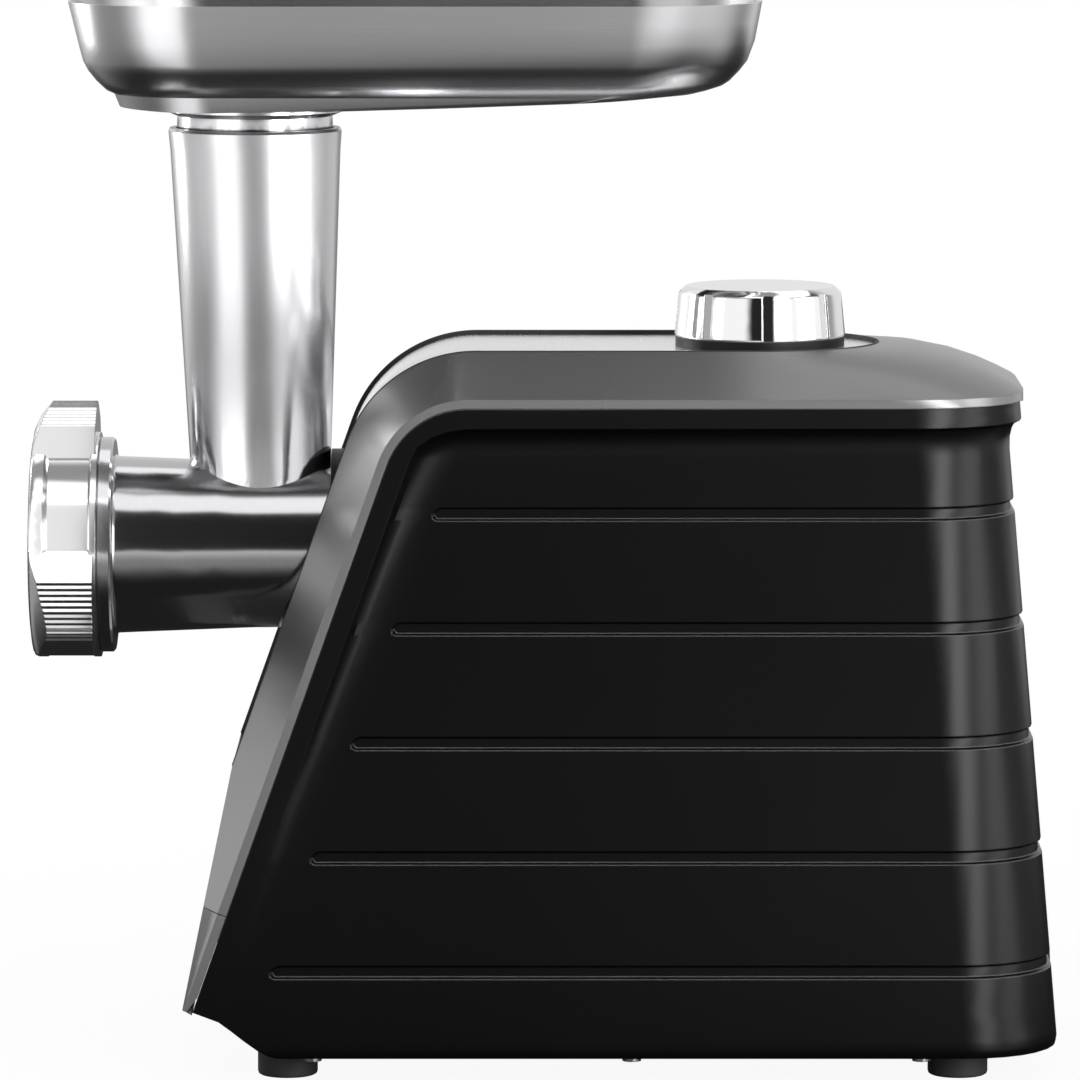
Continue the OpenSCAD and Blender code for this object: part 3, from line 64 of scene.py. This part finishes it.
class Shade:
    # the nodes of one material, or of the world
    def __init__(self, name=None, world=None):
        self.owner = world or bpy.data.materials.new(name)
        self.owner.use_nodes = True
        self.tree = self.owner.node_tree
        self.tree.nodes.clear()

    def node(self, kind, settings=None, *values, out=0, **named):
        # settings come first, because they decide which sockets are live
        made = self.tree.nodes.new(kind)
        for key, value in (settings or {}).items():
            setattr(made, key, value)
        for socket, value in zip([s for s in made.inputs if s.enabled], values):
            self.feed(socket, value)
        for key, value in named.items():
            self.feed(made.inputs[key.replace("_", " ")], value)
        live = [s for s in made.outputs if s.enabled]
        if not live:
            return None
        return Wire(self, live[out] if isinstance(out, int) else made.outputs[out])

    def feed(self, socket, value):
        if isinstance(value, Wire):
            self.tree.links.new(value.socket, socket)
        elif value is not None:
            if isinstance(value, tuple) and len(value) == 3 and socket.type == "RGBA":
                value = (*value, 1)
            socket.default_value = value

    def place(self):
        return self.node("ShaderNodeTexCoord", out="Object")

    def axes(self, vector):
        split = self.node("ShaderNodeSeparateXYZ", None, vector)
        return [Wire(self, s) for s in split.socket.node.outputs]

    def noise(self, scale, detail=2.0, roughness=0.5, vector=None):
        return self.node("ShaderNodeTexNoise", None, Vector=vector or self.place(), Scale=scale,
                         Detail=detail, Roughness=roughness)

    def bands(self, scale, detail, distortion=0.0):
        # light and dark stripes across x
        return self.node("ShaderNodeTexWave", {"bands_direction": "X"}, Vector=self.place(), Scale=scale,
                         Detail=detail, Distortion=distortion, out="Fac")

    def mixColour(self, factor, a, b):
        return self.node("ShaderNodeMix", {"data_type": "RGBA"}, factor, a, b)

    def varied(self, mask, colour, low, high):
        # the colour times low where the mask is 0, times high where it is 1
        return self.mixColour(mask, tuple(c * low for c in colour), tuple(min(1, c * high) for c in colour))

    def bump(self, height, strength, distance, normal=None):
        return self.node("ShaderNodeBump", None, Strength=strength, Distance=distance, Height=height,
                         Normal=normal)

    def rounded(self, radius):
        # a hair of radius on every edge, so that edges catch the light
        return self.node("ShaderNodeBevel", {"samples": 4}, radius)

    def edges(self, curve, low=0.02, high=0.16):
        # 1 minus the dot product of the face's normal and the rounded one: 0 on plain faces, 1 along edges
        face = self.node("ShaderNodeNewGeometry", out="Normal")
        along = self.node("ShaderNodeVectorMath", {"operation": "DOT_PRODUCT"}, face, curve, out="Value")
        return (1 - along).ease(low, high)

    def upness(self, vector):
        # the z part of a vector: a normal's lean upwards, or a place's height
        return self.axes(vector)[2]

    def surface(self, **sockets):
        made = self.node("ShaderNodeBsdfPrincipled", None, **sockets)
        self.node("ShaderNodeOutputMaterial", None, made)
        return self.owner


# the solids arrive faceted: creases under the limit are shaded smooth, sharper edges stay crisp
smoothing = {"limit": math.radians(28), "weld": 0.000004, "faceWeight": 60}


def smoothForms():
    # joins corners closer than weld, then marks each edge whose angle is over the limit as sharp
    group = bpy.data.node_groups.new("roundedShading", "GeometryNodeTree")
    group.interface.new_socket("Geometry", in_out="INPUT", socket_type="NodeSocketGeometry")
    group.interface.new_socket("Geometry", in_out="OUTPUT", socket_type="NodeSocketGeometry")
    limit = group.interface.new_socket("Limit", in_out="INPUT", socket_type="NodeSocketFloat")
    limit.default_value = smoothing["limit"]
    add = group.nodes.new
    link = group.links.new
    start = add("NodeGroupInput")
    end = add("NodeGroupOutput")
    weld = add("GeometryNodeMergeByDistance")
    weld.inputs["Distance"].default_value = smoothing["weld"]
    angle = add("GeometryNodeInputMeshEdgeAngle")
    sharp = add("FunctionNodeCompare")
    sharp.data_type = "FLOAT"
    sharp.operation = "GREATER_THAN"
    normals = add("GeometryNodeSetMeshNormal")
    normals.mode = "SHARPNESS"
    normals.inputs["Remove Custom"].default_value = True
    normals.inputs["Face Sharpness"].default_value = False
    link(start.outputs["Geometry"], weld.inputs["Geometry"])
    link(weld.outputs["Geometry"], normals.inputs["Mesh"])
    link(angle.outputs["Unsigned Angle"], sharp.inputs[0])
    link(start.outputs["Limit"], sharp.inputs[1])
    link(sharp.outputs["Result"], normals.inputs["Edge Sharpness"])
    link(normals.outputs["Mesh"], end.inputs["Geometry"])
    return group


smoothGroup = smoothForms()
for item in nodes.values():
    item.modifiers.new("rounded", "NODES").node_group = smoothGroup
    weighted = item.modifiers.new("weighted", "WEIGHTED_NORMAL")
    weighted.keep_sharp = True
    weighted.weight = smoothing["faceWeight"]
print("shading ready")


def dress(material, *names):
    # one material over the whole of each named node
    for name in names:
        slots = nodes[name].data.materials
        slots.clear()
        slots.append(material)


# colours are linear, roughness runs from 0 for a mirror to 1, scales are per metre, lengths are in metres
# the pale edge colour is a painted highlight, laid on rounded edges that face up
housingBlack = {"colour": (0.0016, 0.0016, 0.0017), "paintedEdgeGleam": (0.17, 0.17, 0.17), "roughness": 0.30,
                "specular": 0.16, "clouds": 9.0, "grain": 2600.0, "grainBump": 0.12,
                "grainHeight": 0.00012, "edge": 0.0006}
collarBlack = {**housingBlack, "colour": (0.008, 0.008, 0.008), "roughness": 0.42}


def moldedBlack(name, look):
    # a cloudy tint over a fine grain, with a painted highlight: rounded edges that face up are coloured paler
    shade = Shade(name)
    grain = shade.noise(look["grain"], 3.0, 0.6)
    cloud = shade.noise(look["clouds"])
    curve = shade.rounded(look["edge"])
    paintedEdgeGleam = shade.edges(curve) * shade.upness(curve).ease(0.12, 0.45)
    tint = shade.mixColour(paintedEdgeGleam, shade.varied(cloud, look["colour"], 0.85, 1.15), look["paintedEdgeGleam"])
    relief = shade.bump(grain, look["grainBump"], look["grainHeight"], curve)
    return shade.surface(Base_Color=tint, Roughness=look["roughness"] - 0.03 + cloud * 0.06,
                         Normal=relief, Specular_IOR_Level=look["specular"])


dress(moldedBlack("satinBlack", housingBlack), "left_shell", "right_shell", "base_plate")
dress(moldedBlack("collarBlack", collarBlack), "socket_ring", "knob_ring")

coverPaint = {"colour": (0.150, 0.151, 0.152), "strip": 1.2, "metallic": 0.55, "roughness": 0.29,
              "specular": 0.5, "clouds": 6.0, "flake": 5200.0, "flakeBump": 0.05, "flakeHeight": 0.0001,
              "edge": 0.0005}


def paintedCover():
    # metal flakes over a dark base, with a painted highlight on upright faces such as the edge strip: there
    # the colour is paler than on the slopes above
    shade = Shade("satinGreyPaint")
    look = coverPaint
    flake = shade.noise(look["flake"], 2.0, 0.7)
    cloud = shade.noise(look["clouds"])
    # painted highlight: upright faces take a paler copy of the colour
    uprightHighlight = 1 - abs(shade.upness(shade.node("ShaderNodeTexCoord", out="Normal"))).ease(0.06, 0.16)
    sparkle = shade.varied(flake.ease(0.50, 0.72), look["colour"], 0.93, 1.28)
    tint = shade.mixColour(uprightHighlight, sparkle, tuple(c * look["strip"] for c in look["colour"]))
    relief = shade.bump(flake, look["flakeBump"], look["flakeHeight"], shade.rounded(look["edge"]))
    return shade.surface(Base_Color=tint, Metallic=look["metallic"], Normal=relief,
                         Roughness=look["roughness"] - 0.04 + cloud * 0.08,
                         Specular_IOR_Level=look["specular"])


dress(paintedCover(), "top_cover", "front_apron")


footRubber = {"dark": (0.012, 0.012, 0.012), "light": (0.022, 0.022, 0.022), "roughness": 0.62,
              "skin": 900.0, "skinBump": 0.15, "skinHeight": 0.0002}


def softRubber():
    # nearly black and dull, with a fine uneven skin
    shade = Shade("blackRubber")
    look = footRubber
    skin = shade.noise(look["skin"], 3.0)
    return shade.surface(Base_Color=shade.mixColour(skin, look["dark"], look["light"]),
                         Roughness=look["roughness"] + skin * 0.15,
                         Normal=shade.bump(skin, look["skinBump"], look["skinHeight"]))


dress(softRubber(), "panel_gasket", "rubber_feet", "cord_bush")

# along is the axis that the scratches follow; spread is how far they change the roughness;
# from satinFrom upwards, over satinRise, the feed tube is duller than the turned barrel by satin
headMetal = {"colour": (0.52, 0.52, 0.53), "roughness": 0.13, "along": "z", "fineness": 700.0,
             "depth": 0.010, "spread": 0.04, "satinFrom": 0.208, "satinRise": 0.03, "satin": 0.12}
panelMetal = {"colour": (0.83, 0.83, 0.84), "roughness": 0.26, "along": "y", "fineness": 1400.0,
              "depth": 0.015, "spread": 0.06}
trayMetal = {"colour": (0.55, 0.55, 0.56), "roughness": 0.26, "along": "x", "fineness": 2600.0,
             "depth": 0.003, "spread": 0.03}
spigotMetal = {"colour": (0.56, 0.56, 0.57), "roughness": 0.17, "along": "x", "fineness": 800.0,
               "depth": 0.01, "spread": 0.05}
cutterMetal = {"colour": (0.60, 0.60, 0.61), "roughness": 0.28, "along": "y", "fineness": 900.0,
               "depth": 0.05, "spread": 0.12}
augerMetal = {"colour": (0.62, 0.62, 0.63), "roughness": 0.36, "along": "x", "fineness": 300.0,
              "depth": 0.08, "spread": 0.12}


def brushed(name, look):
    # scratches along one axis: noise drawn out along it, in the tint, the roughness and the bump
    shade = Shade(name)
    drawn = 0.012  # a scratch's width over its length
    scale = tuple(look["fineness"] * (drawn if axis == look["along"] else 1) for axis in "xyz")
    lines = shade.noise(1.0, 4.0, 0.65, shade.node("ShaderNodeMapping", None, shade.place(), Scale=scale))
    broad = shade.noise(14.0)
    rough = look["roughness"] + (lines - 0.5) * look["spread"] + (broad - 0.5) * 0.05
    if "satin" in look:
        above = shade.upness(shade.place()).ease(look["satinFrom"], look["satinFrom"] + look["satinRise"])
        rough = rough + above * look["satin"]
    return shade.surface(Base_Color=shade.varied(lines, look["colour"], 0.94, 1.04), Metallic=1.0,
                         Roughness=rough.clamp(0.03, 1.0), Normal=shade.bump(lines, look["depth"], 0.0001))


dress(brushed("polishedHeadAlloy", headMetal), "head_casting")
dress(brushed("brushedPanel", panelMetal), "inlay_panel")
dress(brushed("pressedTraySteel", trayMetal), "tray")
dress(brushed("spunNeckSteel", spigotMetal), "tray_spigot")

# a dark line of painted shade runs where two faces meet: the last key is its width; shadow is how dark it is,
# 1 for none
nutPlating = {"colour": (0.86, 0.86, 0.87), "roughness": 0.12, "shadow": 0.22, "paintedEdgeShade": 0.0008}
knobPlating = {"colour": (0.86, 0.86, 0.87), "roughness": 0.06, "shadow": 0.30, "paintedEdgeShade": 0.0004}
zincPlating = {"colour": (0.58, 0.59, 0.60), "roughness": 0.30, "shadow": 1.0, "paintedEdgeShade": 0.0004}


def plated(name, look):
    # a faint smear in the tint and the gloss, with a dark line of painted shade where two faces meet
    shade = Shade(name)
    smear = shade.noise(26.0, 3.0, 0.55)
    tint = shade.varied(smear, look["colour"], 0.97, 1.0)
    if look["shadow"] < 1:
        paintedEdgeShade = shade.edges(shade.rounded(look["paintedEdgeShade"]), 0.03, 0.25)
        tint = shade.mixColour(paintedEdgeShade, tint, tuple(c * look["shadow"] for c in look["colour"]))
    rough = look["roughness"] + (smear - 0.5) * 0.03
    return shade.surface(Base_Color=tint, Metallic=1.0, Roughness=rough.clamp(0.02, 1.0),
                         Normal=shade.rounded(0.0004))


dress(plated("nutChrome", nutPlating), "ring_nut")
dress(plated("knobChrome", knobPlating), "knob_cap")
dress(brushed("groundCutterSteel", cutterMetal), "cutting_knife", "hole_plate", "plate_key", "auger_stud")
dress(plated("zincSteel", zincPlating), "base_screws", "gearbox_screws", "idler_pins", "drive_spindle",
      "motor_shaft", "knob_spindle")
dress(brushed("castAuger", augerMetal), "auger")

gearPlastic = {"colour": (0.72, 0.68, 0.56), "roughness": 0.42}
innerPlastic = {"colour": (0.03, 0.03, 0.033), "roughness": 0.5}
bronze = {"colour": (0.50, 0.33, 0.16), "roughness": 0.4, "grain": 700.0, "metallic": 0.9}
frameZinc = {"colour": (0.40, 0.41, 0.42), "roughness": 0.4, "grain": 500.0, "metallic": 0.85}
brushCarbon = {"colour": (0.03, 0.03, 0.032), "roughness": 0.6}
terminalWhite = {"colour": (0.75, 0.74, 0.70), "roughness": 0.35}


def plainPart(name, look):
    # a cloudy tint over a fine grain, for what sits inside
    shade = Shade(name)
    cloud = shade.noise(18.0, 3.0)
    fine = shade.noise(look.get("grain", 1800.0))
    return shade.surface(Base_Color=shade.varied(cloud, look["colour"], 0.88, 1.08),
                         Metallic=look.get("metallic", 0.0), Roughness=look["roughness"] - 0.05 + cloud * 0.1,
                         Normal=shade.bump(fine, 0.1, 0.0001))


dress(plainPart("creamGearPlastic", gearPlastic), "output_gear", "middle_gear", "first_gear", "auger_tang",
      "barrel_bush")
dress(plainPart("innerPlastic", innerPlastic), "gearbox_front", "gearbox_rear", "cooling_fan",
      "motor_cradle", "selector_switch", "motor_front_cap", "motor_rear_cap")
dress(plainPart("sinteredBronze", bronze), "output_bearings", "motor_bearings", "brush_holders")
dress(plainPart("zincFrame", frameZinc), "motor_frame")

ironSheets = {"dark": (0.20, 0.20, 0.21), "light": (0.42, 0.42, 0.43), "pitch": 310.0}
copperWire = {"dark": (0.28, 0.09, 0.03), "light": (0.72, 0.33, 0.14), "pitch": 520.0}


def stackedIron():
    # thin sheets side by side along the motor
    shade = Shade("stackedIron")
    sheets = shade.bands(ironSheets["pitch"], 0.0)
    return shade.surface(Base_Color=shade.mixColour(sheets, ironSheets["dark"], ironSheets["light"]),
                         Metallic=0.9, Roughness=0.45, Normal=shade.bump(sheets, 0.4, 0.0003))


def woundCopper():
    # lacquered wire, turn beside turn
    shade = Shade("enamelledCopper")
    turns = shade.bands(copperWire["pitch"], 1.0, 0.6)
    return shade.surface(Base_Color=shade.mixColour(turns, copperWire["dark"], copperWire["light"]),
                         Metallic=0.8, Roughness=0.38 + turns * 0.1, Normal=shade.bump(turns, 0.5, 0.0003))


dress(stackedIron(), "stator_core", "rotor_core")
dress(woundCopper(), "rotor_windings", "field_coils", "commutator")
dress(plainPart("brushCarbon", brushCarbon), "carbon_brushes")
dress(plainPart("terminalWhite", terminalWhite), "terminal_block")
print("finishes ready:", len(bpy.data.materials), "materials")


# how bright each part of the studio is, as the metal sees it
glow = {"left": 1.05, "leftRear": 0.42, "right": 1.05, "wallDim": 0.65, "over": 1.62, "overDim": 0.8,
        "crown": 0.30, "back": 0.80, "fill": 0.02, "floorSides": 0.70, "front": 0.33, "frontFar": 0.26,
        "rim": 1.38, "rimGap": 0.56, "rimRear": 0.38, "rimEdge": 0.75}

# where each part fades: azimuths in radians from straight in front, right positive
bearing = {"leftFront": (-0.40, -0.20), "leftRear": (-1.35, -1.05), "leftEnd": (-2.75, -2.45),
           "rightFront": (0.18, 0.42), "rightEnd": (1.60, 2.10), "aheadLeft": (-1.30, -0.90),
           "aheadRight": (0.60, 1.20), "gapLeft": (-0.30, -0.12), "gapRight": (0.22, 0.40),
           "rimRight": (1.50, 1.90), "rimLeft": (-1.75, -1.35), "rimEnd": (2.45, 2.75),
           "overRear": (-2.5, -2.0), "overFront": (-0.9, -0.5)}

# and heights in the sky, as the sine of the elevation
height = {"wallDim": (0.40, 0.55), "wallTop": (0.745, 0.785), "over": (0.755, 0.790), "crown": (0.950, 0.985)}


def sides(turn):
    # the pale walls left and right: the left one dimmer to the rear, and nothing straight in front
    rear = turn.ease(*bearing["leftRear"]) * (1 - glow["leftRear"]) + glow["leftRear"]
    left = (1 - turn.ease(*bearing["leftFront"])) * rear * turn.ease(*bearing["leftEnd"])
    right = turn.ease(*bearing["rightFront"]) * (1 - turn.ease(*bearing["rightEnd"]))
    return left * glow["left"] + right * glow["right"]


def rim(turn):
    # the far floor that upright metal shows: pale, greyer straight in front and to the rear
    gap = turn.ease(*bearing["gapLeft"]) * (1 - turn.ease(*bearing["gapRight"]))
    rear = turn.ease(*bearing["rimRight"]) + 1 - turn.ease(*bearing["rimLeft"])
    edge = abs(turn).ease(*bearing["rimEnd"])
    return glow["rim"] - gap * glow["rimGap"] - rear * glow["rimRear"] - edge * glow["rimEdge"]


# the floor is seen as white, less the object's shadow; zones are distances from the middle in metres
floorLook = {"size": 9.0, "colour": (0.62, 0.62, 0.62), "shadowShare": 0.07, "shadowZone": (0.20, 0.55),
             "frontZone": (0.22, 0.50), "frontFarZone": (0.55, 1.20), "sideZone": (0.38, 0.85),
             "rimZone": (1.20, 1.85), "middle": -0.08}


def floorEcho(shade, x, y, reach):
    # what metal sees in the floor, which glows with painted light: a painted shadow beneath the object, a
    # painted reflection of the walls' light around it, the rim far away
    turn = shade.node("ShaderNodeMath", {"operation": "ARCTAN2"}, x - floorLook["middle"], -y)
    ahead = turn.ease(*bearing["aheadLeft"]) * (1 - turn.ease(*bearing["aheadRight"]))
    front = (reach.ease(*floorLook["frontFarZone"]) * glow["frontFar"] + glow["front"]) * ahead
    near = (sides(turn) * reach.ease(*floorLook["sideZone"]) * glow["floorSides"]
            + front * reach.ease(*floorLook["frontZone"]) + glow["fill"])
    beyond = reach.ease(*floorLook["rimZone"])
    return near * (1 - beyond) + rim(turn) * beyond


def layFloor():
    half = floorLook["size"] / 2
    mesh = bpy.data.meshes.new("floor")
    mesh.from_pydata([(-half, -half, 0), (half, -half, 0), (half, half, 0), (-half, half, 0)], [],
                     [(0, 1, 2, 3)])
    floor = bpy.data.objects.new("floor", mesh)
    bpy.context.scene.collection.objects.link(floor)
    shade = Shade("paleFloor")
    seen = shade.node("ShaderNodeLightPath", out="Is Camera Ray")
    mirrored = shade.node("ShaderNodeLightPath", out="Is Glossy Ray")
    x, y = shade.axes(shade.place())[:2]
    reach = (x * x + y * y).math("SQRT")
    lit = shade.node("ShaderNodeBsdfDiffuse", None, floorLook["colour"])
    echo = shade.node("ShaderNodeEmission", None, (1.0, 1.0, 1.0), floorEcho(shade, x, y, reach))
    white = shade.node("ShaderNodeEmission", None, (1.0, 1.0, 1.0), 1.0)
    ground = shade.node("ShaderNodeMixShader", None, mirrored, lit, echo)
    shadow = (1 - reach.ease(*floorLook["shadowZone"])) * floorLook["shadowShare"]
    shade.node("ShaderNodeOutputMaterial", None,
               shade.node("ShaderNodeMixShader", None, seen * (1 - shadow), ground, white))
    mesh.materials.append(shade.owner)


def lightWorld():
    # walls up to about head height, dimmer above, then a ceiling panel that is dim over the left wall
    world = bpy.data.worlds.new("studio")
    bpy.context.scene.world = world
    shade = Shade(world=world)
    seen = shade.node("ShaderNodeLightPath", out="Is Camera Ray")
    x, y, z = shade.axes(shade.node("ShaderNodeTexCoord", out="Generated"))
    turn = shade.node("ShaderNodeMath", {"operation": "ARCTAN2"}, x, -y)
    low = 1 - z.ease(*height["wallTop"])
    crown = z.ease(*height["crown"])
    over = z.ease(*height["over"]) * (1 - crown)
    overLeft = turn.ease(*bearing["overRear"]) * (1 - turn.ease(*bearing["overFront"]))
    back = y.ease(0.25, 0.70) * glow["back"]
    walls = sides(turn) * (1 - z.ease(*height["wallDim"]) * glow["wallDim"]) + back
    ceiling = over * (1 - overLeft * glow["overDim"]) * glow["over"] + crown * glow["crown"]
    level = walls * low + ceiling + glow["fill"]
    shade.node("ShaderNodeOutputWorld", None,
               shade.node("ShaderNodeBackground", None, (1.0, 1.0, 1.0), seen + (1 - seen) * level))


# metres and watts; each lamp faces its target
lamps = {
    "rearSoftbox": {"place": (-1.38, 0.85, 1.12), "target": (-0.06, -0.05, 0.28),
                    "width": 0.42, "height": 0.50, "watts": 18.0},
    "lowGleam": {"place": (-0.487, 0.21, 0.295), "target": (-0.080, -0.055, 0.180),
                 "width": 0.10, "height": 0.12, "watts": 0.40},
    "sideSoftbox": {"place": (0.86, -1.30, 0.45), "target": (0.10, -0.03, 0.20),
                    "width": 0.50, "height": 0.90, "watts": 18.0},
    "sideFill": {"place": (1.42, -0.62, 0.45), "target": (0.10, -0.03, 0.20),
                 "width": 0.70, "height": 0.90, "watts": 10.0},
    "nutCard": {"place": (-0.258, -0.19, 0.290), "target": (-0.258, 0.0, 0.290),
                "width": 0.19, "height": 0.29, "watts": 0.16},
}


def hangLamps():
    for name, lamp in lamps.items():
        light = bpy.data.lights.new(name, "AREA")
        light.shape = "RECTANGLE"
        light.size = lamp["width"]
        light.size_y = lamp["height"]
        light.energy = lamp["watts"]
        hung = bpy.data.objects.new(name, light)
        hung.location = lamp["place"]
        aim = Vector(lamp["target"]) - Vector(lamp["place"])
        hung.rotation_euler = aim.to_track_quat("-Z", "Y").to_euler()
        bpy.context.scene.collection.objects.link(hung)


# tilt is in degrees from straight down, lens and sensor are in millimetres
cameraStand = {"place": (-0.001, -2.73828, 0.48864), "tilt": 83.5, "lens": 266.667, "sensor": 36.0,
               "farEnd": 50.0}


def setCamera():
    lens = bpy.data.cameras.new("camera")
    lens.lens = cameraStand["lens"]
    lens.sensor_width = cameraStand["sensor"]
    lens.clip_end = cameraStand["farEnd"]
    camera = bpy.data.objects.new("camera", lens)
    camera.location = cameraStand["place"]
    camera.rotation_euler = (math.radians(cameraStand["tilt"]), 0, 0)
    bpy.context.scene.collection.objects.link(camera)
    bpy.context.scene.camera = camera


layFloor()
lightWorld()
hangLamps()
setCamera()
bpy.context.scene.view_settings.view_transform = "Standard"
print("studio ready")
